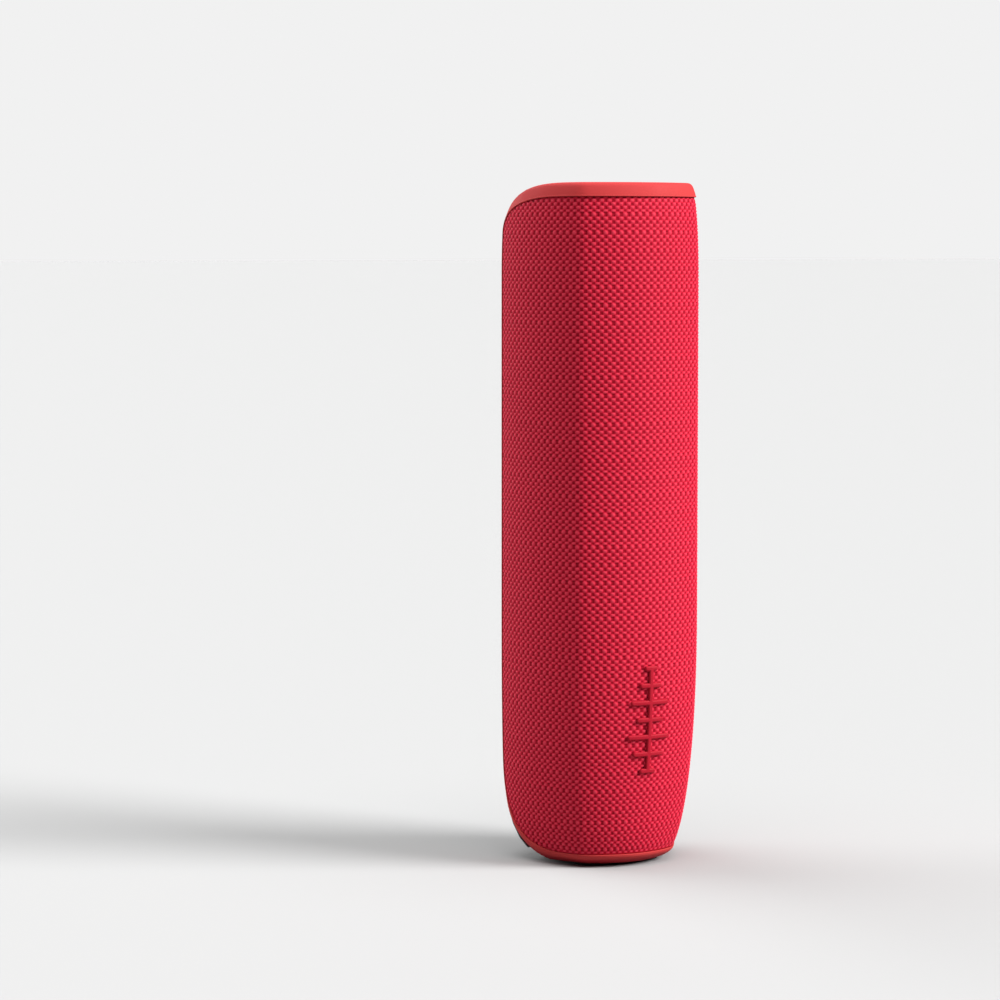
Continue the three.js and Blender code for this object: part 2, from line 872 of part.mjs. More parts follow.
const backOuter = backBody(0, 0, CORE_BOTTOM, BACK_TOP);
const coreOuter = innerBody(CORE_INSET, CORE_BOTTOM, CORE_TOP);
const cavity = innerBody(CORE_INSET + WALL, FLOOR_TOP, ROOF_BOTTOM)
  .add(backBody(BACK_LIP, WALL, FLOOR_TOP, ROOF_BOTTOM))
  .subtract(box([-FAR, FAR], [-FAR, TRAY_FRONT - 1], [0, HEIGHT]));

/** A racetrack plug through the back, at the passive radiator. */
function racetrackPrism(radius, y0, y1) {
  return racetrackPlate(
    [
      [radius, y0],
      [radius, y1],
    ],
    RADIATOR_STRAIGHT,
    RADIATOR_Z,
  );
}

/** The one-piece back and sides, with its well, port bay, screw posts and button pocket. */
function rearShell() {
  const behindBaffle = box([-FAR, FAR], [TRAY_FRONT, FAR], [0, HEIGHT]).add(
    box([-FAR, FAR], [-FAR, FAR], [HEAD_BOTTOM, HEIGHT]),
  );
  const behindPanel = box([-FAR, FAR], [PANEL_REAR + GAP, FAR], [0, HEIGHT]);
  const topBlock = innerBody(PANEL_INSET, CORE_TOP - WALL, BACK_TOP).intersect(behindPanel);
  const well = racetrackPrism(RADIATOR_WELL, RADIATOR_WELL_FRONT, FAR).intersect(backOuter);
  const bayBlock = box(
    around(0, BAY.halfWidth + BAY_WALL),
    [BAY.floor - WALL, FAR],
    [BAY.bottom - BAY_WALL, BAY.top + BAY_WALL],
  ).intersect(backOuter);
  const posts = BAFFLE_SCREWS.map(([x, z]) =>
    box(x > 0 ? [x - POST_HALF, FAR] : [-FAR, x + POST_HALF], POST_DEPTH, around(z, POST_HALF)),
  );
  const postBody = wasm.Manifold.union(posts).intersect(coreOuter);
  const pocket = innerBody(CORE_INSET + WALL, ROOF_TOP, CORE_TOP + 1).intersect(
    box([-FAR, FAR], [-FAR, POCKET_REAR], [ROOF_TOP, HEIGHT]),
  );
  const bay = box(around(0, BAY.halfWidth), [BAY.floor, FAR], [BAY.bottom, BAY.top]);
  const usbHole = box(
    around(USB_X, USB.halfWidth + GAP),
    [BAY.floor - 2 * WALL, FAR],
    around(PORT_Z, USB.halfHeight + GAP),
  );
  const auxHole = plug(AUX_RADIUS + GAP, BAY.floor - 2 * WALL, FAR, AUX_X, PORT_Z);
  const screwHoles = BAFFLE_SCREWS.map(([x, z]) =>
    plug(POST_PILOT_RADIUS, TRAY_FRONT - 1, POST_PILOT_END, x, z, SCREW_SEGMENTS),
  );
  const baseHoles = [-1, 1].map((side) =>
    pillar(BASE_PILOT_RADIUS, 0, FLOOR_TOP + 1, side * BASE_SCREW_X, BASE_SCREW_Y),
  );
  const ribbonHole = box(RIBBON_HOLE.x, RIBBON_HOLE.y, [ROOF_BOTTOM - 1, ROOF_TOP + 1]);
  return coreOuter
    .intersect(behindBaffle)
    .add(backOuter)
    .add(topBlock)
    .subtract(cavity)
    .add(well)
    .add(bayBlock)
    .add(postBody)
    .subtract(racetrackPrism(RADIATOR_OPENING, RADIATOR_CUT_FRONT, FAR))
    .subtract(pocket)
    .subtract(bay)
    .subtract(usbHole)
    .subtract(auxHole)
    .subtract(ribbonHole)
    .subtract(wasm.Manifold.union([...screwHoles, ...baseHoles]));
}

function frontBaffle() {
  const plate = coreOuter.intersect(
    box([-FAR, FAR], [BAFFLE_FRONT, BAFFLE_REAR], [BAFFLE_BOTTOM, HEAD_BOTTOM - GAP]),
  );
  const holes = DRIVERS.flatMap(({ z }) => [
    plug(DRIVER_HOLE_RADIUS, -FAR, 0, 0, z, SEGMENTS),
    ...driverCorners(z).map(([x, cornerZ]) =>
      plug(DRIVER_SCREW_HOLE, -FAR, 0, x, cornerZ, SCREW_SEGMENTS),
    ),
  ]);
  const screwHoles = BAFFLE_SCREWS.map(([x, z]) =>
    plug(BAFFLE_SCREW_HOLE, -FAR, 0, x, z, SCREW_SEGMENTS),
  );
  return plate.subtract(wasm.Manifold.union([...holes, ...screwHoles]));
}

function driverCorners(z) {
  return [-1, 1].flatMap((sx) =>
    [-1, 1].map((sz) => [sx * DRIVER_SCREW_AT, z + sz * DRIVER_SCREW_AT]),
  );
}

/** A plan outline that follows the inside of the cover at one height. */
function planOutline(inset, z, halfGirth, rear) {
  const front = stations(halfGirth, INNER_SIDE_STEPS).map((along) => coverPoint(along, z, inset));
  const end = front[front.length - 1];
  return [new THREE.Vector3(-end.x, rear, z), ...front, new THREE.Vector3(end.x, rear, z)];
}

function atHeight(ring, z) {
  return ring.map((p) => new THREE.Vector3(p.x, p.y, z));
}

function topPanel() {
  const outline = planOutline(PANEL_INSET, PANEL_TOP, PANEL_HALF_GIRTH, PANEL_REAR);
  const plate = loft([atHeight(outline, PANEL_BOTTOM), atHeight(outline, PANEL_TOP)]);
  const holes = BUTTONS.map((_, i) =>
    pillar(BUTTON_HOLE_RADIUS, PANEL_BOTTOM - 1, PANEL_TOP + 1, buttonX(i), BUTTON_Y, SEGMENTS),
  );
  const lightHole = pillar(LIGHT_RADIUS + GAP, PANEL_BOTTOM - 1, PANEL_TOP + 1, 0, LIGHT_Y);
  return plate.subtract(wasm.Manifold.union([...holes, lightHole]));
}

function buttonX(i) {
  return (i - (BUTTONS.length - 1) / 2) * BUTTON_PITCH;
}

function basePlate() {
  const outline = planOutline(CORE_INSET, BASE_PLATE.bottom, BASE_PLATE.halfGirth, BASE_PLATE.rear);
  const plate = loft([atHeight(outline, BASE_PLATE.bottom), atHeight(outline, BASE_PLATE.top)]);
  const holes = [-1, 1].flatMap((side) => [
    pillar(BASE_PILOT_RADIUS, 0, FLOOR_TOP + 1, side * BASE_SCREW_X, BASE_SCREW_Y),
    pillar(BASE_HEAD_RADIUS, 0, BASE_PLATE.bottom + 1, side * BASE_SCREW_X, BASE_SCREW_Y),
  ]);
  return plate.subtract(wasm.Manifold.union(holes));
}

/** A rounded rectangle as a shape. */
function roundedShape(halfWidth, low, high, corner) {
  const shape = new THREE.Shape();
  shape.moveTo(-halfWidth + corner, low);
  shape.lineTo(halfWidth - corner, low);
  shape.absarc(halfWidth - corner, low + corner, corner, -Math.PI / 2, 0);
  shape.lineTo(halfWidth, high - corner);
  shape.absarc(halfWidth - corner, high - corner, corner, 0, Math.PI / 2);
  shape.lineTo(-halfWidth + corner, high);
  shape.absarc(-halfWidth + corner, high - corner, corner, Math.PI / 2, Math.PI);
  shape.lineTo(-halfWidth, low + corner);
  shape.absarc(-halfWidth + corner, low + corner, corner, Math.PI, 1.5 * Math.PI);
  return shape;
}

function rubberFoot() {
  const shape = roundedShape(FOOT.halfWidth, FOOT.front, FOOT.rear, FOOT.corner);
  return new THREE.ExtrudeGeometry(shape, { depth: FOOT.top, bevelEnabled: false, curveSegments: 4 });
}

node('rear_shell', rearShell(), BLACK);
node('front_baffle', frontBaffle(), DARK_GREY);
node('top_panel', topPanel(), BLACK);
node('base_plate', basePlate(), BLACK);
node('rubber_foot', rubberFoot(), DARK_GREY);

// ---- Buttons and light ----

BUTTONS.forEach((name, i) => {
  const cap = upright(
    [
      [0, BUTTON_BOTTOM],
      [BUTTON_FLANGE_RADIUS, BUTTON_BOTTOM],
      [BUTTON_FLANGE_RADIUS, BUTTON_FLANGE_TOP],
      [BUTTON_RADIUS, BUTTON_FLANGE_TOP],
      [BUTTON_RADIUS, BUTTON_TOP - BUTTON_BEVEL],
      [BUTTON_RADIUS - BUTTON_BEVEL, BUTTON_TOP],
      [0, BUTTON_TOP - BUTTON_DISH],
    ],
    buttonX(i),
    BUTTON_Y,
    SEGMENTS,
  );
  node(`button_${name}`, cap, DARK_GREY);
});
node('light_pipe', pillar(LIGHT_RADIUS, LIGHT_BOTTOM, PANEL_TOP + LIGHT_PROUD, 0, LIGHT_Y), CLEAR);

// ---- Drivers ----

function driverFrame(z) {
  const shape = roundedShape(FRAME_HALF, -FRAME_HALF, FRAME_HALF, FRAME_CORNER);
  const plate = new THREE.ExtrudeGeometry(shape, {
    depth: FRAME_REAR - FRAME_FRONT,
    bevelEnabled: false,
    curveSegments: 3,
  });
  plate.rotateX(Math.PI / 2);
  plate.translate(0, FRAME_REAR, z);
  const holes = driverCorners(z).map(([x, cornerZ]) =>
    plug(DRIVER_SCREW_HOLE, -FAR, 0, x, cornerZ, SCREW_SEGMENTS),
  );
  return solid(indexed(plate))
    .subtract(loopPlug(FRAME_BORE, z))
    .add(loopBody(BASKET, 0, z))
    .subtract(wasm.Manifold.union(holes));
}

/** A plug with the same facets as loopBody. */
function loopPlug(radius, z) {
  return racetrackPlate(
    [
      [radius, -FAR],
      [radius, 0],
    ],
    0,
    z,
  );
}

for (const { name, z } of DRIVERS) {
  node(`${name}_driver_frame`, driverFrame(z), DARK_GREY);
  node(`${name}_driver_motor`, facing(MOTOR, 0, z), STEEL);
  node(`${name}_driver_surround`, loopBody(SURROUND, 0, z), BLACK);
  node(`${name}_driver_spider`, loopBody(SPIDER, 0, z), SPIDER_TAN);
  node(`${name}_driver_cone`, loopBody(CONE, 0, z), PAPER);
  node(`${name}_driver_dust_cap`, facing(DUST_CAP, 0, z), PAPER);
  driverCorners(z).forEach(([x, cornerZ], i) => {
    node(`${name}_driver_screw_${i + 1}`, facing(SMALL_SCREW, x, cornerZ, SCREW_SEGMENTS), STEEL);
  });
}

// ---- Passive radiator ----

node('radiator_frame', loopBody(RADIATOR_FRAME, RADIATOR_STRAIGHT, RADIATOR_Z), DARK_GREY);
node('radiator_surround', loopBody(RADIATOR_SURROUND, RADIATOR_STRAIGHT, RADIATOR_Z), BLACK);
node('radiator_plate', racetrackPlate(RADIATOR_PLATE, RADIATOR_STRAIGHT, RADIATOR_Z), STEEL);
node('radiator_weight', racetrackPlate(RADIATOR_WEIGHT, RADIATOR_STRAIGHT, RADIATOR_Z), STEEL);

// ---- Power and electronics ----

function batteryHolder() {
  const width = around(0, HOLDER.halfWidth);
  const depth = [HOLDER.front, HOLDER.back[1]];
  const parts = [
    box(width, HOLDER.back, [HOLDER.bottom, HOLDER.top]),
    box(width, depth, [HOLDER.bottom, CELL_BOTTOM - GAP]),
    box(width, depth, [CELL_TOP + GAP, HOLDER.top]),
    box(
      around(0, HOLDER_RIB.halfWidth),
      [HOLDER_RIB.front, HOLDER.back[0] + GAP],
      [HOLDER.bottom + 1, HOLDER.top - 1],
    ),
  ];
  const room = innerBody(CORE_INSET + WALL + HOLDER_CLEARANCE, FLOOR_TOP + GAP, ROOF_BOTTOM - GAP);
  return wasm.Manifold.union(parts).intersect(room);
}

function mainBoard() {
  const { halfWidth, front, rear, bottom, top } = MAIN_BOARD;
  const seat = rear - SOLDERED;
  const parts = BOARD_PARTS.map((part) => box(part.x, [seat, part.rear], part.z));
  const capacitors = CAPACITOR.heights.map((z) =>
    plug(CAPACITOR.radius, seat, CAPACITOR.rear, CAPACITOR.x, z),
  );
  const board = box(around(0, halfWidth), [front, rear], [bottom, top]);
  return wasm.Manifold.union([board, ...parts, ...capacitors]);
}

function controlBoard() {
  const { clearance, halfGirth, rear } = CONTROL_BOARD;
  const outline = planOutline(CORE_INSET + WALL + clearance, CORE_TOP, halfGirth, rear);
  const plate = loft([atHeight(outline, BOARD_BOTTOM), atHeight(outline, BOARD_TOP)]);
  const switches = BUTTONS.map((_, i) =>
    box(
      around(buttonX(i), SWITCH_HALF),
      around(BUTTON_Y, SWITCH_HALF),
      [BOARD_TOP - SOLDERED, BUTTON_BOTTOM - SWITCH_TRAVEL],
    ),
  );
  return plate.add(wasm.Manifold.union(switches));
}

function usbPort() {
  const shellBody = box(
    around(USB_X, USB.halfWidth),
    [PORT_FRONT, PORT_REAR],
    around(PORT_Z, USB.halfHeight),
  );
  const mouth = box(
    around(USB_X, USB.halfWidth - USB.wall),
    [PORT_FRONT + USB.floor, FAR],
    around(PORT_Z, USB.halfHeight - USB.wall),
  );
  const tongue = box(
    around(USB_X, TONGUE.halfWidth),
    [TONGUE.front, TONGUE.rear],
    around(PORT_Z, TONGUE.halfHeight),
  );
  return shellBody.subtract(mouth).add(tongue);
}

function auxJack() {
  const body = plug(AUX_RADIUS, PORT_FRONT, PORT_REAR, AUX_X, PORT_Z, SEGMENTS);
  return body.subtract(plug(AUX_BORE, AUX_BORE_FLOOR, FAR, AUX_X, PORT_Z, SEGMENTS));
}

/** A flat ribbon between two X positions, through points of [y, z]. */
function ribbonBody([x0, x1], path, thickness) {
  const rings = path.map(([y, z], i) => {
    const before = path[Math.max(0, i - 1)];
    const after = path[Math.min(path.length - 1, i + 1)];
    const way = new THREE.Vector2(after[0] - before[0], after[1] - before[1]).normalize();
    const ny = (way.y * thickness) / 2;
    const nz = (-way.x * thickness) / 2;
    return [
      new THREE.Vector3(x0, y - ny, z - nz),
      new THREE.Vector3(x1, y - ny, z - nz),
      new THREE.Vector3(x1, y + ny, z + nz),
      new THREE.Vector3(x0, y + ny, z + nz),
    ];
  });
  return loft(rings);
}

for (const [name, side] of [
  ['left', -1],
  ['right', 1],
]) {
  node(`battery_cell_${name}`, upright(CELL, side * CELL_X, CELL_Y, SEGMENTS), CELL_BLUE);
}
node('battery_holder', batteryHolder(), BLACK);
node('main_board', mainBoard(), BOARD_GREEN);
node('control_board', controlBoard(), BOARD_GREEN);
node('usb_port', usbPort(), STEEL);
node('aux_jack', auxJack(), BLACK);
node('control_ribbon', ribbonBody(RIBBON.x, RIBBON_PATH, RIBBON.thickness), RIBBON_AMBER);
for (const { name } of DRIVERS) {
  node(`${name}_driver_lead`, indexed(wire(LEADS[name], LEAD_RADIUS)), WIRE_RED);
}

// ---- Port flap ----

const flap = backOuter.intersect(
  box(
    around(0, BAY.halfWidth - GAP),
    [FLAP_INNER_Y, FAR],
    [BAY.bottom + GAP, BAY.top - GAP],
  ),
);
node('port_flap', flap, DARK_GREY);

// ---- Screws ----

BAFFLE_SCREWS.forEach(([x, z], i) => {
  node(`baffle_screw_${i + 1}`, facing(BAFFLE_SCREW, x, z, SCREW_SEGMENTS), STEEL);
});
[-1, 1].forEach((side, i) => {
  const screw = upright(BASE_SCREW, side * BASE_SCREW_X, BASE_SCREW_Y, SCREW_SEGMENTS);
  node(`base_screw_${i + 1}`, screw, STEEL);
});

export default group;
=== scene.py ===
"""Looks of the upright portable speaker with a cloth-wrapped cover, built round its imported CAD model."""

import json
import math

import bmesh
import bpy
import numpy as np
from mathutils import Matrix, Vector

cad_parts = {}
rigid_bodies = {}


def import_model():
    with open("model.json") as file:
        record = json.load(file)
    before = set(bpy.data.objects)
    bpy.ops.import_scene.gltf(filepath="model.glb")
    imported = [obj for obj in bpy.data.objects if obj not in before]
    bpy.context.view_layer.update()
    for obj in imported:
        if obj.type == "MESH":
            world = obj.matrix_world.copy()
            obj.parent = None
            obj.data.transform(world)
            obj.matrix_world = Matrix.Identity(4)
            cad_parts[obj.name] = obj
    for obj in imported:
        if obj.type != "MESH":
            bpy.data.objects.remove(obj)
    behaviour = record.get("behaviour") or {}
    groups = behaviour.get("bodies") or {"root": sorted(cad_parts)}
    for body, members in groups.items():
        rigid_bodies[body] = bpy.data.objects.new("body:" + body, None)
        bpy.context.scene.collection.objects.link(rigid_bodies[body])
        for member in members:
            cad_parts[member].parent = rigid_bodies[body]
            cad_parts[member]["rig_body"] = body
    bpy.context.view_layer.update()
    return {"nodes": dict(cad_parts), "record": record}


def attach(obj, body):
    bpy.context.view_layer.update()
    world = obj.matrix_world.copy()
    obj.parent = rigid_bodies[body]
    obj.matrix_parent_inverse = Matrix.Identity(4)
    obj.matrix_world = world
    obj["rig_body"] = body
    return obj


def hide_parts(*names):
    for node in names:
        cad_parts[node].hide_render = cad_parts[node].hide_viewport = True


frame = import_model()
scene = bpy.context.scene

MM = 0.001
SEED = 7

# ---- Cover surface, in millimetres: the same section, taper and corners as the CAD cover ----

NOSE_Y = -24.0
HEIGHT = 190.0
GAP = 0.3
ARCS = ((33.3, 31.0), (6.9, 57.5), (45.6, 99.0))
BASE_RECESS = (10.6, 71.5, 2.0)
BASE_TAPER = (0.45, 71.5, 2.55)
BASE_TAPER_AT_SEAM = 0.31
CROWN = (2.5, 27.0, 2.2)
TOP_CORNER = (32.9, 19.9, 2.9)
BOTTOM_CORNER = (29.3, 27.8, 2.47)
CLOTH_TOP_CORNER = (28.0, 10.0, 2.3)
CLOTH_BOTTOM_CORNER = (29.0, 26.0, 2.47)
RIM_BOTTOM = 0.8
RIM_TOP_BAND = 3.9
RIM_BOTTOM_BAND = 3.0
RIM_SIDE_BAND = 1.0
CLOTH_TOP = HEIGHT - RIM_TOP_BAND - GAP
CLOTH_BOTTOM = RIM_BOTTOM + RIM_BOTTOM_BAND + GAP
CLOTH_THICKNESS = 0.8
RIM_INNER = 2.6


def cut_back(from_end, corner):
    """How far a rounded corner stands back from its edge, at a distance from the end."""
    depth, height, power = corner
    t = np.clip(1 - np.asarray(from_end, float) / height, 0, 1)
    return depth * (1 - (1 - t**power) ** (1 / power))


def section_at(along):
    """Half-width, depth behind the nose and outward angle, at girth distances from the nose."""
    left = np.array(along, float)
    u, v, angle = np.zeros_like(left), np.zeros_like(left), np.zeros_like(left)
    start = 0.0
    for radius, end_turn in ARCS:
        end = math.radians(end_turn)
        sweep = np.clip(left / radius, 0, end - start)
        u += radius * (np.sin(start + sweep) - math.sin(start))
        v += radius * (math.cos(start) - np.cos(start + sweep))
        angle += sweep
        left -= sweep * radius
        start = end
    return u, v, angle


HALF_GIRTH = sum(
    radius * math.radians(end - start)
    for (radius, end), start in zip(ARCS, (0.0, ARCS[0][1], ARCS[1][1]))
)
SEAM_U, SEAM_V, SEAM_ANGLE = (float(value) for value in section_at(HALF_GIRTH))
HALF_WIDTH = ARCS[2][0] + SEAM_U - ARCS[2][0] * math.sin(SEAM_ANGLE)


def cover_points(along, z, inset):
    """Points in metres on the cover at girth distances and heights, set in from its face."""
    along, z, inset = np.broadcast_arrays(along, z, inset)
    u, v, angle = section_at(np.abs(along))
    u = u - inset * np.sin(angle)
    v = v + inset * np.cos(angle)
    back_share = v / SEAM_V
    taper = cut_back(z, BASE_TAPER)
    crown = cut_back(HEIGHT - z, CROWN)
    recess = (cut_back(z, BASE_RECESS) + crown) * (1 - back_share)
    narrowing = 1 - taper * (1 - (1 - BASE_TAPER_AT_SEAM) * back_share)
    x = np.sign(along) * u * narrowing * (1 - crown / HALF_WIDTH)
    return np.stack([x, NOSE_Y + v + recess, z], axis=-1) * MM


def edge_girth(z):
    """Girth from the nose to the cover's edge."""
    return HALF_GIRTH - cut_back(HEIGHT - z, TOP_CORNER) - cut_back(z, BOTTOM_CORNER)


def cloth_girth(z):
    """Girth from the nose to the cloth's border."""
    corners = cut_back(CLOTH_TOP - z, CLOTH_TOP_CORNER) + cut_back(z - CLOTH_BOTTOM, CLOTH_BOTTOM_CORNER)
    return HALF_GIRTH - RIM_SIDE_BAND - GAP - corners


# ---- Mesh helpers ----


def make_mesh(name, points, faces, smooth=True, sharp_angle=None):
    """A new object from points in metres; edges sharper than an angle in degrees stay hard."""
    mesh = bpy.data.meshes.new(name)
    mesh.from_pydata([tuple(p) for p in points], [], [tuple(int(i) for i in f) for f in faces])
    mesh.update()
    piece = bpy.data.objects.new(name, mesh)
    scene.collection.objects.link(piece)
    if smooth:
        mesh.polygons.foreach_set("use_smooth", [True] * len(mesh.polygons))
    if sharp_angle is not None:
        mesh.set_sharp_from_angle(angle=math.radians(sharp_angle))
    return piece


def add_attribute(piece, name, values):
    """A float per point, which a material can read."""
    attribute = piece.data.attributes.new(name, "FLOAT", "POINT")
    attribute.data.foreach_set("value", np.asarray(values, np.float32))


def border_loop(faces):
    """The outer boundary of a patch of quads, as one closed walk in the faces' own direction."""
    following = {}
    edges = set()
    for face in faces:
        for a, b in zip(face, np.roll(face, -1)):
            edges.add((int(a), int(b)))
    for a, b in edges:
        if (b, a) not in edges:
            following[a] = b
    start = next(iter(sorted(following)))
    loop = [start]
    while following[loop[-1]] != start:
        loop.append(following[loop[-1]])
    return loop


def patch_from_grid(across, up, inside, border):
    """A grid trimmed to an outline: whole cells are kept and their edge is drawn onto the border.

    inside(s, z) says which cell centres are kept, and border is a dense closed line of (s, z).
    Returns the kept points' (s, z), the quads and the loop of border points.
    """
    s, z = np.meshgrid(across, up)
    columns = len(across)
    keep = inside((s[:-1, :-1] + s[1:, 1:]) / 2, (z[:-1, :-1] + z[1:, 1:]) / 2)
    rows, cols = np.nonzero(keep)
    corner = rows * columns + cols
    quads = np.stack([corner, corner + 1, corner + 1 + columns, corner + columns], axis=1)
    used, quads = np.unique(quads, return_inverse=True)
    quads = quads.reshape(-1, 4)
    flat = np.stack([s.ravel()[used], z.ravel()[used]], axis=1)
    loop = border_loop(quads)
    for i in loop:
        nearest = np.argmin(((border - flat[i]) ** 2).sum(axis=1))
        flat[i] = border[nearest]
    return flat, quads, loop


def hem_rows(quads, loop, start, rows):
    """Quads for rows of points that carry a border loop on, each row as long as the loop."""
    size = len(loop)
    rings = [np.array(loop)] + [start + r * size + np.arange(size) for r in range(rows)]
    hem = []
    for ring, onward in zip(rings, rings[1:]):
        for i in range(size):
            j = (i + 1) % size
            hem.append((ring[j], ring[i], onward[i], onward[j]))
    return np.concatenate([quads, np.array(hem)])


# ---- Cloth: a plain weave of thick weft over finer warp ----

WARP_PITCH = 1.105
WEFT_PITCH = 0.9875
SAMPLES_ACROSS = 4
SAMPLES_UP = 3
YARNS = 400
WEFT_TOP = 0.14
WEFT_DIP = 0.5
WARP_WAVE = 0.05
WARP_SINK = 0.24
WEFT_ROUND = 0.2
WARP_ROUND = 0.3
YARN_FULLNESS = 0.92
LIFT_SPREAD = 0.02
SHADE_SPREAD = 0.006
CLOTH_SETBACK = 0.04
BORDER_FADE = 1.1
BORDER_TUCK = 0.24
BORDER_DROP = 0.12
BORDER_SIDE_POINTS = 4000
BORDER_END_POINTS = 1500
HEM_DEPTHS = (0.45, CLOTH_THICKNESS)


def yarn_noise(spread, seed):
    """A small fixed difference for each yarn."""
    return spread * np.random.default_rng(seed).normal(0, 1, YARNS)


def weave_height(s, z):
    """Height of the yarns' surface above the cloth's middle, and which yarns are on top."""
    column = np.floor(s / WARP_PITCH).astype(int)
    row = np.floor(z / WEFT_PITCH).astype(int)
    u = s / WARP_PITCH - column - 0.5
    v = z / WEFT_PITCH - row - 0.5
    sign = np.where((column + row) % 2 == 0, 1.0, -1.0)
    weft_lift = 1 + yarn_noise(LIFT_SPREAD, SEED)[row % YARNS]
    warp_lift = 1 + yarn_noise(LIFT_SPREAD, SEED + 1)[column % YARNS]
    weft = np.where(sign > 0, WEFT_TOP, -WEFT_DIP) * weft_lift * np.cos(math.pi * u)
    weft = weft + WEFT_ROUND * (np.sqrt(1 - (2 * v * YARN_FULLNESS) ** 2) - 1)
    warp = -WARP_SINK - sign * WARP_WAVE * warp_lift * np.cos(math.pi * v)
    warp = warp + WARP_ROUND * (np.sqrt(1 - (2 * u * YARN_FULLNESS) ** 2) - 1)
    return np.maximum(weft, warp), weft >= warp


def cloth_border():
    """A dense closed line round the cloth's flat outline."""
    turn = (1 - np.cos(np.linspace(0, math.pi, BORDER_SIDE_POINTS))) / 2
    z = CLOTH_BOTTOM + turn * (CLOTH_TOP - CLOTH_BOTTOM)
    side = np.stack([cloth_girth(z), z], axis=1)
    way = np.gradient(side, axis=0)
    way /= np.linalg.norm(way, axis=1)[:, None]
    side += BORDER_TUCK * np.stack([way[:, 1], -way[:, 0]], axis=1)
    side[0] = (side[1, 0], CLOTH_BOTTOM - BORDER_TUCK)
    side[-1] = (side[-2, 0], CLOTH_TOP + BORDER_TUCK)
    across = np.linspace(side[-1, 0], -side[-1, 0], BORDER_END_POINTS)
    top = np.stack([across, np.full(BORDER_END_POINTS, side[-1, 1])], axis=1)
    across = np.linspace(-side[0, 0], side[0, 0], BORDER_END_POINTS)
    bottom = np.stack([across, np.full(BORDER_END_POINTS, side[0, 1])], axis=1)
    return np.concatenate([side, top, (side * (-1, 1))[::-1], bottom])


def build_cloth():
    """The woven cloth, trimmed to its border, with a turned hem and the values its material reads."""
    half = cloth_girth(np.array([(CLOTH_TOP + CLOTH_BOTTOM) / 2]))[0]
    step = WARP_PITCH / SAMPLES_ACROSS
    rise = WEFT_PITCH / SAMPLES_UP
    count = math.ceil(half / step)
    across = np.arange(-count, count + 1) * step
    up = np.arange(math.floor(CLOTH_BOTTOM / rise), math.ceil(CLOTH_TOP / rise) + 1) * rise

    def inside(s, z):
        within = (z > CLOTH_BOTTOM - BORDER_TUCK) & (z < CLOTH_TOP + BORDER_TUCK)
        girth = cloth_girth(np.clip(z, CLOTH_BOTTOM, CLOTH_TOP))
        return within & (np.abs(s) < girth + BORDER_TUCK)

    border = cloth_border()
    flat, quads, loop = patch_from_grid(across, up, inside, border)
    s, z = flat[:, 0], flat[:, 1]
    height, weft_on_top = weave_height(s, z)
    to_side = cloth_girth(np.clip(z, CLOTH_BOTTOM, CLOTH_TOP)) - np.abs(s)
    to_end = np.minimum(CLOTH_TOP - z, z - CLOTH_BOTTOM)
    fade = np.clip(np.minimum(to_side, to_end) / BORDER_FADE, 0, 1)
    lowest = -WARP_SINK - WARP_ROUND
    inset = CLOTH_SETBACK - height * fade + (1 - fade) * BORDER_DROP
    points = cover_points(s, z, inset)
    edge = flat[loop]
    hem = [cover_points(edge[:, 0], edge[:, 1], depth) for depth in HEM_DEPTHS]
    faces = hem_rows(quads, loop, len(flat), len(hem))
    cloth = make_mesh("woven_cloth", np.concatenate([points, *hem]), faces)
    # The yarns' height, which the cloth material turns into painted shade in the holes and painted sheen
    # on the tops; the hem gets the deepest painted shade
    depth = np.clip((height - lowest) / (WEFT_TOP - lowest), 0, 1)
    hem_values = np.zeros(len(loop) * len(hem))
    add_attribute(cloth, "yarn_height", np.concatenate([depth, hem_values]))
    add_attribute(cloth, "weft_on_top", np.concatenate([weft_on_top.astype(float), hem_values]))
    shade = 1 + yarn_noise(SHADE_SPREAD, SEED + 2)[np.floor(z / WEFT_PITCH).astype(int)]
    add_attribute(cloth, "yarn_shade", np.concatenate([shade, hem_values + 1]))
    layer = cloth.data.uv_layers.new(name="cut")
    corners = np.zeros(len(cloth.data.loops), np.int32)
    cloth.data.loops.foreach_get("vertex_index", corners)
    cut = np.concatenate([flat] + [edge] * len(hem)) / HEIGHT
    layer.data.foreach_set("uv", cut[corners].ravel().astype(np.float32))
    return cloth


# ---- Rim: a satin band round the cloth, with a bead at its lip, its foot turned under and painted shade on its underside ----

SIDE_STEPS = 150
END_STEPS = 44
RIM_PROUD = 0.4
LIP_BEAD = 0.1
UNDER_TURN = 1.7
BEAD_START = 0.55
FOOT_BEAD = 0.32
SIDE_FLUSH = 0.75
EDGE_INSET = 0.6
EDGE_SHARE = 0.3
FLARE = 0.15
SIDE_FLARE = 0.6
FACE_SHARES = (0.42, 0.55, 0.68, 0.8)
LIP_SHARE = 0.86
BEAD_SHARE = 0.9
RIM_SKIRT = 1.1
RIM_STEP = 0.6
ROUND_STEPS = 7
ROUND_START = 0.12
FOOT_REACH = 14.0
UNDER_POWER = 1.1
# Where the painted shade on the band's underside starts, and how far it takes to fade in
PAINTED_SHADE_START = 0.6
PAINTED_SHADE_WIDTH = 0.2


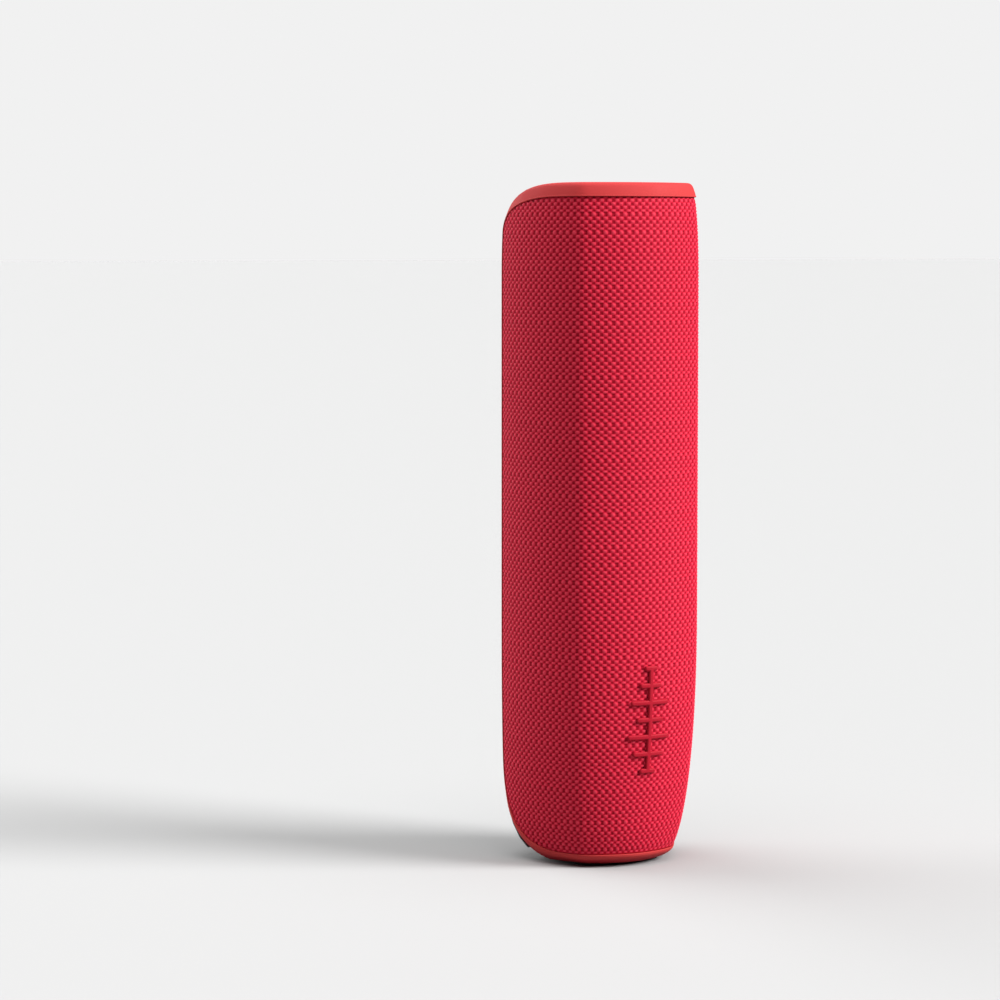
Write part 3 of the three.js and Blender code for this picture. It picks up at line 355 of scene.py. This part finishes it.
def rim_path():
    """The band's outer and inner edges as two closed lines of (girth, height), point for point."""
    share = (1 - np.cos(np.linspace(0, math.pi, SIDE_STEPS + 1))) / 2
    outer_z = RIM_BOTTOM + share * (HEIGHT - RIM_BOTTOM)
    border_z = CLOTH_BOTTOM + share * (CLOTH_TOP - CLOTH_BOTTOM)
    border = np.stack([cloth_girth(border_z), border_z], axis=1)
    way = np.gradient(border, axis=0)
    way /= np.linalg.norm(way, axis=1)[:, None]
    outer = np.stack([edge_girth(outer_z), outer_z], axis=1)
    inner = border + GAP * np.stack([way[:, 1], -way[:, 0]], axis=1)
    inner[0, 1] = CLOTH_BOTTOM - GAP
    inner[-1, 1] = CLOTH_TOP + GAP
    across = np.linspace(1, -1, END_STEPS + 1)[1:-1, None]
    mirror = np.array([-1.0, 1.0])

    def closed(side):
        top = np.concatenate([across * side[-1, 0], np.full_like(across, side[-1, 1])], axis=1)
        bottom = np.concatenate([-across * side[0, 0], np.full_like(across, side[0, 1])], axis=1)
        return np.concatenate([side, top, side[::-1] * mirror, bottom])

    return closed(outer), closed(inner)


def rim_profile():
    """Shares from the outer edge to the inner one, with insets, round the band's section."""
    steps = [(0.0, RIM_INNER), (0.0, RIM_SKIRT), (0.0, EDGE_INSET)]
    for turn in np.linspace(ROUND_START, 1, ROUND_STEPS):
        angle = turn * math.pi / 2
        drop = (EDGE_INSET + RIM_PROUD - FLARE) * math.sin(angle)
        steps.append((EDGE_SHARE * (1 - math.cos(angle)), EDGE_INSET - drop))
    for share in (*FACE_SHARES, LIP_SHARE):
        steps.append((share, -RIM_PROUD + FLARE * (LIP_SHARE - share) / (LIP_SHARE - EDGE_SHARE)))
    for turn in np.linspace(0, 1, ROUND_STEPS):
        angle = turn * math.pi
        share = BEAD_SHARE + (1 - BEAD_SHARE) * (1 - math.cos(angle)) / 2
        steps.append((share, -RIM_PROUD - LIP_BEAD * math.sin(angle)))
    steps += [(1.0, 0.0), (1.0, RIM_STEP), (1.0, RIM_INNER)]
    return steps


def build_rim():
    """The band round the cloth, as one closed loop of sections, with painted shade darkening its colour
    towards its underside.
    """
    outer, inner = rim_path()
    near_foot = np.clip(1 - (outer[:, 1] - RIM_BOTTOM) / FOOT_REACH, 0, 1)
    near_foot = near_foot * near_foot * (3 - 2 * near_foot)
    rings = []
    side_share = section_at(np.abs(outer[:, 0]))[1] / SEAM_V
    for share, inset in rim_profile():
        line = outer + share * (inner - outer)
        inset = inset * (1 - SIDE_FLUSH * side_share) if inset < 0 else inset
        flare = SIDE_FLARE * side_share * max(0.0, LIP_SHARE - share)
        under = UNDER_TURN * near_foot * (max(0.0, BEAD_START - share) / BEAD_START) ** UNDER_POWER
        bead_turn = math.pi * min(1.0, max(0.0, share - BEAD_START) / (1 - BEAD_START))
        under = under - FOOT_BEAD * near_foot * math.sin(bead_turn)
        rings.append(cover_points(line[:, 0], line[:, 1], np.minimum(inset + flare + under, RIM_INNER)))
    size, profile = len(outer), len(rings)
    points = np.stack(rings, axis=1).reshape(-1, 3)
    faces = []
    for i in range(size):
        j = (i + 1) % size
        for k in range(profile):
            l = (k + 1) % profile
            faces.append((i * profile + k, j * profile + k, j * profile + l, i * profile + l))
    band = make_mesh("cover_band", points, faces, sharp_angle=50)
    shares = np.array([share for share, _ in rim_profile()])
    # Painted shade: how far each point of the band is darkened, strongest near the foot and below the lip
    painted_shade_below_lip = np.clip((PAINTED_SHADE_START - shares) / PAINTED_SHADE_WIDTH, 0, 1)
    add_attribute(band, "painted_foot_shade", (near_foot[:, None] * painted_shade_below_lip[None, :]).ravel())
    return band


# ---- Mark: a level-meter pattern, raised from the cloth with rounded edges ----

MARK_ALONG = 0.9
MARK_BOTTOM = 27.0
MARK_STROKE = 1.4
MARK_PITCH = 4.8
MARK_BARS = (2.6, 5.0, 6.8, 4.2, 6.0, 3.4, 2.0)
MARK_SEAT = 0.15
MARK_RAISE = 0.7
MARK_STEP = 0.15
MARK_ROUND = 0.45
MARK_EDGE_SHARE = 0.35
MARK_FINE_STEP = 0.02
MARK_EDGE_BAND = 0.012
MARK_FOOT = 0.02


def stroke_distance(s, z, start, end):
    """Distance from a straight line between two points, less half a stroke."""
    start, end = np.array(start), np.array(end)
    way = end - start
    t = np.clip(((s - start[0]) * way[0] + (z - start[1]) * way[1]) / (way @ way), 0, 1)
    return np.hypot(s - start[0] - t * way[0], z - start[1] - t * way[1]) - MARK_STROKE / 2


def mark_distance(s, z):
    """Distance from the whole mark's outline, negative inside it."""
    half = MARK_STROKE / 2
    top = MARK_BOTTOM + (len(MARK_BARS) - 1) * MARK_PITCH + half
    distance = stroke_distance(s, z, (0, MARK_BOTTOM + half), (0, top))
    for i, reach in enumerate(MARK_BARS):
        level = MARK_BOTTOM + half + i * MARK_PITCH
        bar = stroke_distance(s, z, (half - reach, level), (reach - half, level))
        distance = np.minimum(distance, bar)
    return distance


def build_mark():
    """The mark, trimmed to its outline, rounded at its edges and seated on the cloth."""
    reach = max(MARK_BARS) + MARK_STROKE
    across = np.arange(-reach, reach, MARK_STEP)
    up = np.arange(MARK_BOTTOM - 1, MARK_BOTTOM + len(MARK_BARS) * MARK_PITCH, MARK_STEP)
    fine_across = np.arange(-reach, reach, MARK_FINE_STEP)
    fine_s, fine_z = np.meshgrid(fine_across, np.arange(up[0], up[-1], MARK_FINE_STEP))
    on_edge = np.abs(mark_distance(fine_s, fine_z)) < MARK_EDGE_BAND
    border = np.stack([fine_s[on_edge], fine_z[on_edge]], axis=1)
    flat, quads, loop = patch_from_grid(across, up, lambda s, z: mark_distance(s, z) < 0, border)
    inward = np.clip(-mark_distance(flat[:, 0], flat[:, 1]) / MARK_ROUND, 0, 1)
    crown = np.sqrt(1 - (1 - inward) ** 2)
    raised = MARK_SEAT + MARK_RAISE * (MARK_EDGE_SHARE + (1 - MARK_EDGE_SHARE) * crown)
    top = cover_points(flat[:, 0] + MARK_ALONG, flat[:, 1], -raised)
    edge = flat[loop]
    foot = cover_points(edge[:, 0] + MARK_ALONG, edge[:, 1], -MARK_FOOT)
    faces = hem_rows(quads, loop, len(flat), 1)
    return make_mesh("raised_mark", np.concatenate([top, foot]), faces, sharp_angle=60)


# ---- Key symbols: generic shapes, raised a little on each key ----

KEY_Y = -6.2
KEY_PITCH = 7.0
KEY_TOP = 189.1
SYMBOL_RAISE = 0.1
SYMBOL_HALF = 1.25
SYMBOL_STROKE = 0.34
SYMBOL_SEAT = 0.02


def prism(outlines, centre_x):
    """Flat outlines of (x, y) round a key's centre, raised a little from its top."""
    points, faces = [], []
    for outline in outlines:
        start, size = len(points), len(outline)
        for level in (KEY_TOP - SYMBOL_SEAT, KEY_TOP + SYMBOL_RAISE):
            points += [((centre_x + x) * MM, (KEY_Y + y) * MM, level * MM) for x, y in outline]
        faces.append([start + size + i for i in range(size)])
        for i in range(size):
            j = (i + 1) % size
            faces.append([start + i, start + j, start + size + j, start + size + i])
    return points, faces


def bar(x0, y0, x1, y1, stroke=SYMBOL_STROKE):
    """A straight stroke with square ends, as an outline."""
    way = Vector((x1 - x0, y1 - y0)).normalized() * (stroke / 2)
    side = Vector((-way.y, way.x))
    corners = ((x0, y0, -1), (x1, y1, -1), (x1, y1, 1), (x0, y0, 1))
    return [(x + side.x * sign, y + side.y * sign) for x, y, sign in corners]


def arc(radius, start, end, cx=0.0, cy=0.0, stroke=SYMBOL_STROKE, steps=18):
    """A curved stroke as short straight outlines."""
    turns = [math.radians(start + (end - start) * i / steps) for i in range(steps + 1)]
    outlines = []
    near, far = radius - stroke / 2, radius + stroke / 2
    for a, b in zip(turns, turns[1:]):
        corners = ((a, near), (a, far), (b, far), (b, near))
        outlines.append([(cx + r * math.cos(turn), cy + r * math.sin(turn)) for turn, r in corners])
    return outlines


SYMBOLS = {
    "key_power": arc(0.95, 125, 415) + [bar(0, 0.35, 0, 1.4)],
    "key_volume_down": [bar(-SYMBOL_HALF, 0, SYMBOL_HALF, 0)],
    "key_play": [[(-0.85, -1.15), (1.2, 0), (-0.85, 1.15)]],
    "key_volume_up": [
        bar(-SYMBOL_HALF, 0, SYMBOL_HALF, 0),
        bar(0, SYMBOL_STROKE / 2, 0, SYMBOL_HALF),
        bar(0, -SYMBOL_HALF, 0, -SYMBOL_STROKE / 2),
    ],
    "key_pairing": arc(0.45, 0, 360, -0.62) + arc(0.45, 0, 360, 0.62),
}


def build_symbols():
    """Each key's symbol, with the body it rides on."""
    pieces = []
    for i, (body, outlines) in enumerate(SYMBOLS.items()):
        points, faces = prism(outlines, (i - len(SYMBOLS) // 2) * KEY_PITCH)
        symbol = make_mesh(body + "_symbol", points, faces, smooth=False)
        pieces.append((symbol, body))
    return pieces


# ---- Materials ----

GRAIN_DEPTH = 0.06 * MM
FIBRE_DEPTH = 0.08 * MM


def new_material(name):
    """A material, its node tree and its shader."""
    material = bpy.data.materials.new(name)
    material.use_nodes = True
    tree = material.node_tree
    return material, tree, tree.nodes["Principled BSDF"]


def link(tree, source, target):
    tree.links.new(source, target)


def noise(tree, scale, detail=4.0, stretch=(1, 1, 1)):
    """Noise in the object's own coordinates, in metres."""
    place = tree.nodes.new("ShaderNodeTexCoord")
    sizing = tree.nodes.new("ShaderNodeMapping")
    sizing.inputs["Scale"].default_value = stretch
    texture = tree.nodes.new("ShaderNodeTexNoise")
    texture.inputs["Scale"].default_value = scale
    texture.inputs["Detail"].default_value = detail
    link(tree, place.outputs["Object"], sizing.inputs["Vector"])
    link(tree, sizing.outputs["Vector"], texture.inputs["Vector"])
    return texture.outputs["Fac"]


def ramp(tree, value, stops):
    """Colours or greys at positions along a value."""
    node = tree.nodes.new("ShaderNodeValToRGB")
    elements = node.color_ramp.elements
    while len(elements) < len(stops):
        elements.new(0.5)
    for element, (position, colour) in zip(elements, stops):
        element.position = position
        element.color = (*colour, 1) if len(colour) == 3 else (colour[0],) * 3 + (1,)
    link(tree, value, node.inputs["Fac"])
    return node.outputs["Color"]


def bump(tree, shader, height, strength, distance):
    """Fine relief from a height, on top of the mesh's own shape."""
    node = tree.nodes.new("ShaderNodeBump")
    node.inputs["Strength"].default_value = strength
    node.inputs["Distance"].default_value = distance
    link(tree, height, node.inputs["Height"])
    link(tree, node.outputs["Normal"], shader.inputs["Normal"])


def shaded(colour, amount):
    """A colour made lighter or darker."""
    return tuple(min(1.0, channel * amount) for channel in colour)


def darken_by(tree, shader, name, colour):
    """Paints shade: turns a surface towards a deeper colour where an attribute of its piece says so."""
    plain = shader.inputs["Base Color"].links[0].from_socket
    blend = tree.nodes.new("ShaderNodeMix")
    blend.data_type = "RGBA"
    blend.inputs["B"].default_value = (*colour, 1)
    link(tree, attribute_value(tree, name), blend.inputs["Factor"])
    link(tree, plain, blend.inputs["A"])
    link(tree, blend.outputs["Result"], shader.inputs["Base Color"])


def attribute_value(tree, name):
    """A value that a piece's mesh carries at each point."""
    node = tree.nodes.new("ShaderNodeAttribute")
    node.attribute_name = name
    return node.outputs["Fac"]


def moulded(
    name, colour, rough, grain_scale, grain, specular=0.5, metallic=0.0, vary=0.12, coat=0.0, brushed=False
):
    """A moulded, painted or plated surface: fine grain, slow colour drift and uneven gloss."""
    stretch = (1, 1, 0.03) if brushed else (1, 1, 1)
    material, tree, shader = new_material(name)
    shader.inputs["Metallic"].default_value = metallic
    shader.inputs["Specular IOR Level"].default_value = specular
    shader.inputs["Coat Weight"].default_value = coat
    shader.inputs["Coat Roughness"].default_value = 0.2
    drift = noise(tree, 60, 3.0)
    tone = ramp(tree, drift, [(0.3, shaded(colour, 1 - vary)), (0.7, shaded(colour, 1 + vary))])
    link(tree, tone, shader.inputs["Base Color"])
    gloss = noise(tree, 160, 5.0)
    uneven = ramp(tree, gloss, [(0.3, (rough - 0.05,)), (0.7, (rough + 0.07,))])
    link(tree, uneven, shader.inputs["Roughness"])
    bump(tree, shader, noise(tree, grain_scale, 2.0, stretch), grain, GRAIN_DEPTH)
    return material


# Yarn colours by height in the weave: painted shade in the holes, the yarn's own colour in between,
# painted sheen on the tops
CLOTH_PAINTED_HOLE_SHADE = (0.10, 0.001, 0.003)
CLOTH_MID = (0.46, 0.005, 0.025)
CLOTH_PAINTED_TOP_SHEEN = (0.58, 0.036, 0.066)


def cloth_material():
    """Crimson polyester yarn with fibres along each yarn: painted shade makes it deep in the holes, and
    painted sheen makes the tops paler.
    """
    material, tree, shader = new_material("cloth_weave")
    shader.inputs["Roughness"].default_value = 0.6
    shader.inputs["Specular IOR Level"].default_value = 0.06
    height = attribute_value(tree, "yarn_height")
    # Painted shade in the holes and painted sheen on the tops, from the yarns' height
    tone = ramp(tree, height, [(0.36, CLOTH_PAINTED_HOLE_SHADE), (0.6, CLOTH_MID), (0.97, CLOTH_PAINTED_TOP_SHEEN)])
    shade = tree.nodes.new("ShaderNodeMix")
    shade.data_type = "RGBA"
    shade.blend_type = "MULTIPLY"
    shade.inputs["Factor"].default_value = 1.0
    link(tree, tone, shade.inputs["A"])
    link(tree, attribute_value(tree, "yarn_shade"), shade.inputs["B"])
    link(tree, shade.outputs["Result"], shader.inputs["Base Color"])
    along_weft = noise(tree, 2400, 2.0, (0.25, 0.25, 1))
    along_warp = noise(tree, 2400, 2.0, (1, 1, 0.2))
    fibres = tree.nodes.new("ShaderNodeMix")
    link(tree, attribute_value(tree, "weft_on_top"), fibres.inputs["Factor"])
    link(tree, along_warp, fibres.inputs["A"])
    link(tree, along_weft, fibres.inputs["B"])
    bump(tree, shader, fibres.outputs["Result"], 0.5, FIBRE_DEPTH)
    return material


MATERIALS = {
    "cloth": cloth_material(),
    "rim_plastic": moulded("rim_satin", (0.42, 0.036, 0.037), 0.6, 2600, 0.10, specular=0.06, vary=0.02),
    "mark_plastic": moulded("mark_satin", (0.33, 0.006, 0.018), 0.5, 2600, 0.10, specular=0.1, vary=0.03),
    "black_plastic": moulded("shell_black", (0.02, 0.02, 0.023), 0.66, 1900, 0.45, specular=0.2),
    "grey_plastic": moulded("inner_grey", (0.06, 0.06, 0.066), 0.6, 1900, 0.4, specular=0.25),
    "button_rubber": moulded("key_rubber", (0.045, 0.045, 0.05), 0.62, 2600, 0.35, specular=0.4),
    "foot_rubber": moulded("foot_rubber", (0.028, 0.028, 0.028), 0.75, 1500, 0.6, specular=0.3),
    "surround_rubber": moulded("surround_rubber", (0.018, 0.018, 0.018), 0.55, 1800, 0.25, specular=0.4),
    "cone_paper": moulded("cone_pulp", (0.045, 0.045, 0.05), 0.78, 900, 0.9, specular=0.3, vary=0.25),
    "spider_cloth": moulded("spider_cloth", (0.55, 0.33, 0.09), 0.8, 1500, 1.0, specular=0.2, vary=0.2),
    "steel": moulded("zinc_steel", (0.55, 0.56, 0.58), 0.34, 900, 0.2, metallic=1.0),
    "radiator_metal": moulded(
        "brushed_plate", (0.36, 0.37, 0.39), 0.3, 1400, 0.35, metallic=1.0, brushed=True
    ),
    "cell_wrap": moulded("cell_wrap", (0.05, 0.16, 0.42), 0.28, 500, 0.12, coat=0.4),
    "board": moulded("solder_mask", (0.02, 0.13, 0.05), 0.35, 700, 0.2, coat=0.3, vary=0.2),
    "wire_red": moulded("wire_red", (0.45, 0.02, 0.02), 0.4, 600, 0.1),
    "ribbon": moulded("film_ribbon", (0.55, 0.25, 0.05), 0.3, 400, 0.05, coat=0.3),
    "light": moulded("light_pipe", (0.8, 0.82, 0.84), 0.25, 600, 0.05),
    "symbol": moulded("symbol_print", (0.55, 0.55, 0.56), 0.5, 2000, 0.1),
}

# Painted shade: the rim's turned-under foot is darkened in its colour, standing in for the shade that
# falls beneath it
PAINTED_UNDERSIDE_SHADE = (0.3, 0.014, 0.02)
rim_tree = MATERIALS["rim_plastic"].node_tree
darken_by(rim_tree, rim_tree.nodes["Principled BSDF"], "painted_foot_shade", PAINTED_UNDERSIDE_SHADE)


def slot_of_nodes():
    """Which record slot each CAD node takes."""
    groups = frame["record"]["subparts"]
    return {entry["node"]: entry["material_slot"] for entry in groups}


def dress(piece, slot):
    """Gives a new piece the material of a slot."""
    piece.data.materials.clear()
    piece.data.materials.append(MATERIALS[slot])


for node_name, slot in slot_of_nodes().items():
    node = frame["nodes"][node_name]
    for material_slot in node.material_slots:
        material_slot.material = MATERIALS[slot]

# ---- Camera, at the photograph's angle ----

CAMERA_AT = (-0.4432, -0.8084, 0.1733)
CAMERA_TURN = math.radians(26.866)
CAMERA_DROP = math.radians(4.46)
SENSOR_MM = 36.0
LENS_MM = 118.4

camera_data = bpy.data.cameras.new("camera")
camera_data.sensor_width = SENSOR_MM
camera_data.lens = LENS_MM
camera_data.clip_start = 0.01
camera_data.clip_end = 100
camera = bpy.data.objects.new("camera", camera_data)
camera.location = CAMERA_AT
looking = Vector(
    (
        math.sin(CAMERA_TURN) * math.cos(CAMERA_DROP),
        math.cos(CAMERA_TURN) * math.cos(CAMERA_DROP),
        -math.sin(CAMERA_DROP),
    )
)
camera.rotation_euler = looking.to_track_quat("-Z", "Y").to_euler()
scene.collection.objects.link(camera)
scene.camera = camera

# ---- Pieces ----

cloth = build_cloth()
dress(cloth, "cloth")
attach(cloth, "cover")
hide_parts("fabric_skin")

rim = build_rim()
dress(rim, "rim_plastic")
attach(rim, "cover")
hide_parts("cover_rim")

mark = build_mark()
dress(mark, "mark_plastic")
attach(mark, "cover")
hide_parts("level_mark")

for symbol, body in build_symbols():
    dress(symbol, "symbol")
    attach(symbol, body)

# ---- Finished copies of the CAD parts that can be seen: smooth curves and softened edges ----

SHARP_ANGLE = 28
BEVEL_ANGLE = 50
FLAT_ANGLE = 0.6
WELD = 0.002 * MM
BEVEL_SEGMENTS = 3
FINISHED = {
    "rear_shell": 0.0,
    "top_panel": 0.2,
    "base_plate": 0.25,
    "rubber_foot": 0.25,
    "port_flap": 0.2,
    "radiator_frame": 0.0,
    "radiator_surround": 0.0,
    "radiator_plate": 0.0,
    "front_baffle": 0.0,
    "light_pipe": 0.12,
}
KEYS = ("power", "volume_down", "play", "volume_up", "pairing")
FINISHED.update({f"button_{name}": 0.16 for name in KEYS})
for which in ("upper", "lower"):
    FINISHED.update({f"{which}_driver_{part}": 0.0 for part in ("frame", "surround", "cone", "dust_cap")})
    FINISHED[f"{which}_driver_lead"] = 0.0


def finished_copy(name, edge_radius):
    """A copy of a CAD node with its flats joined, its hard edges rounded and its curves smooth."""
    node = frame["nodes"][name]
    mesh = bmesh.new()
    mesh.from_mesh(node.data)
    bmesh.ops.remove_doubles(mesh, verts=mesh.verts, dist=WELD)
    if edge_radius:
        flats = {"use_dissolve_boundaries": False, "verts": mesh.verts, "edges": mesh.edges}
        bmesh.ops.dissolve_limit(mesh, angle_limit=math.radians(FLAT_ANGLE), **flats)
        hard = [e for e in mesh.edges if e.calc_face_angle(0) > math.radians(BEVEL_ANGLE)]
        bmesh.ops.bevel(
            mesh,
            geom=hard,
            offset=edge_radius * MM,
            offset_type="OFFSET",
            segments=BEVEL_SEGMENTS,
            profile=0.5,
            affect="EDGES",
            clamp_overlap=True,
        )
        bmesh.ops.triangulate(mesh, faces=mesh.faces)
    data = bpy.data.meshes.new(name + "_finish")
    mesh.to_mesh(data)
    mesh.free()
    data.shade_smooth()
    data.set_sharp_from_angle(angle=math.radians(SHARP_ANGLE))
    piece = bpy.data.objects.new(name + "_finish", data)
    scene.collection.objects.link(piece)
    return piece


node_slots = slot_of_nodes()
for node_name, edge_radius in FINISHED.items():
    piece = finished_copy(node_name, edge_radius)
    dress(piece, node_slots[node_name])
    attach(piece, frame["nodes"][node_name]["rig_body"])
    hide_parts(node_name)

# ---- Floor and light ----

FLOOR_HALF = 30.0
floor_corners = [(x * FLOOR_HALF, y * FLOOR_HALF, 0) for x, y in ((-1, -1), (1, -1), (1, 1), (-1, 1))]
floor = make_mesh("floor", floor_corners, [(0, 1, 2, 3)], smooth=False)
floor_material, _, floor_shader = new_material("floor")
floor_shader.inputs["Base Color"].default_value = (0.34, 0.34, 0.34, 1)
floor_shader.inputs["Roughness"].default_value = 0.9
floor_shader.inputs["Specular IOR Level"].default_value = 0.1
floor.data.materials.append(floor_material)


def sun(name, azimuth, elevation, strength, softness, colour=(1, 1, 1)):
    """Soft light from far off; azimuth turns from the front towards the right."""
    data = bpy.data.lights.new(name, "SUN")
    data.energy = strength
    data.angle = math.radians(softness)
    data.color = colour
    lamp = bpy.data.objects.new(name, data)
    az, el = math.radians(azimuth), math.radians(elevation)
    towards = Vector((math.sin(az) * math.cos(el), -math.cos(az) * math.cos(el), math.sin(el)))
    lamp.rotation_euler = towards.to_track_quat("Z", "Y").to_euler()
    scene.collection.objects.link(lamp)


sun("key", 46, 34, 5.9, 28)
sun("back_fill", -150, 30, 3.1, 60)
sun("top", -20, 82, 3.0, 60)

world = bpy.data.worlds.new("studio")
scene.world = world
world.use_nodes = True
backdrop = world.node_tree.nodes["Background"]
backdrop.inputs["Color"].default_value = (1, 1, 1, 1)
backdrop.inputs["Strength"].default_value = 0.06
seen = world.node_tree.nodes.new("ShaderNodeBackground")
seen.inputs["Color"].default_value = (1, 1, 1, 1)
seen.inputs["Strength"].default_value = 0.88
ray = world.node_tree.nodes.new("ShaderNodeLightPath")
either = world.node_tree.nodes.new("ShaderNodeMixShader")
link(world.node_tree, ray.outputs["Is Camera Ray"], either.inputs[0])
link(world.node_tree, backdrop.outputs[0], either.inputs[1])
link(world.node_tree, seen.outputs[0], either.inputs[2])
link(world.node_tree, either.outputs[0], world.node_tree.nodes["World Output"].inputs["Surface"])

scene.view_settings.view_transform = "Standard"
scene.view_settings.look = "None"
scene.view_settings.exposure = 0.0
scene.view_settings.gamma = 1.0
